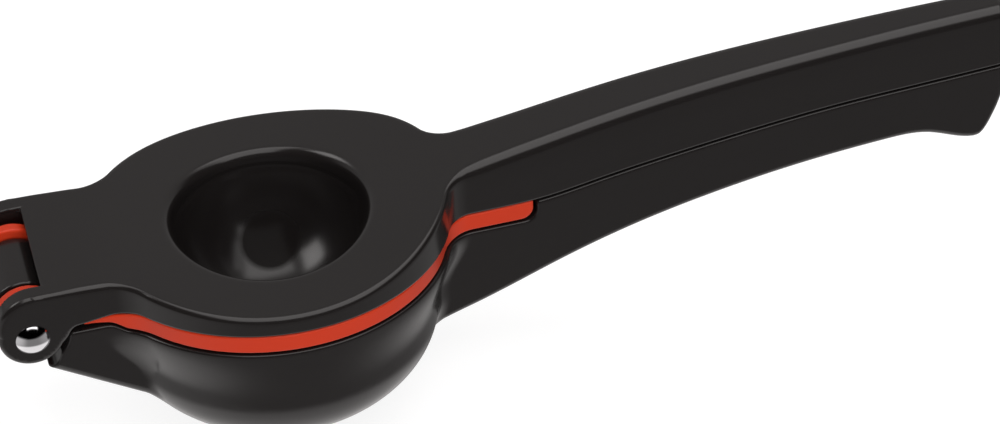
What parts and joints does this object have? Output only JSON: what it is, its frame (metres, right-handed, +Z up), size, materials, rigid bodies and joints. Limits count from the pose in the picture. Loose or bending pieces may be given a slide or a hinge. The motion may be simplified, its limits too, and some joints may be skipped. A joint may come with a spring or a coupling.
{
  "type": "citrus press",
  "caption": "Two-in-one hand citrus press: lower arm with a juice bowl, swinging cup insert and upper arm with a press dome on a common hinge pin.",
  "frame": {"origin": "centre of the small flat under the juice bowl, on the bowl's axis", "axes": "+X from the bowl to the handles' free end, +Y to the side away from the pin's head, +Z up, along the bowl's axis"},
  "size_m": [0.2457, 0.076, 0.072],
  "materials": {
    "black_enamel": "semi-gloss black paint on a die casting",
    "orange_enamel": "semi-gloss orange-red paint on a die casting",
    "polished_pin": "polished, chrome plated"
  },
  "bodies": {
    "lower": {"lower_arm": "black_enamel"},
    "cup": {"insert_cup": "orange_enamel"},
    "upper": {"upper_arm": "black_enamel", "hinge_pin": "polished_pin", "pin_cap": "polished_pin"}
  },
  "joints": [
    {"name": "cup_hinge", "type": "hinge", "parent": "lower", "child": "cup", "pos_m": [-0.0587, 0, 0.0411], "axis": [0, -1, 0], "range_deg": [0, 75]},
    {"name": "press_hinge", "type": "hinge", "parent": "cup", "child": "upper", "pos_m": [-0.0587, 0, 0.0411], "axis": [0, -1, 0], "range_deg": [0, 85]}
  ]
}
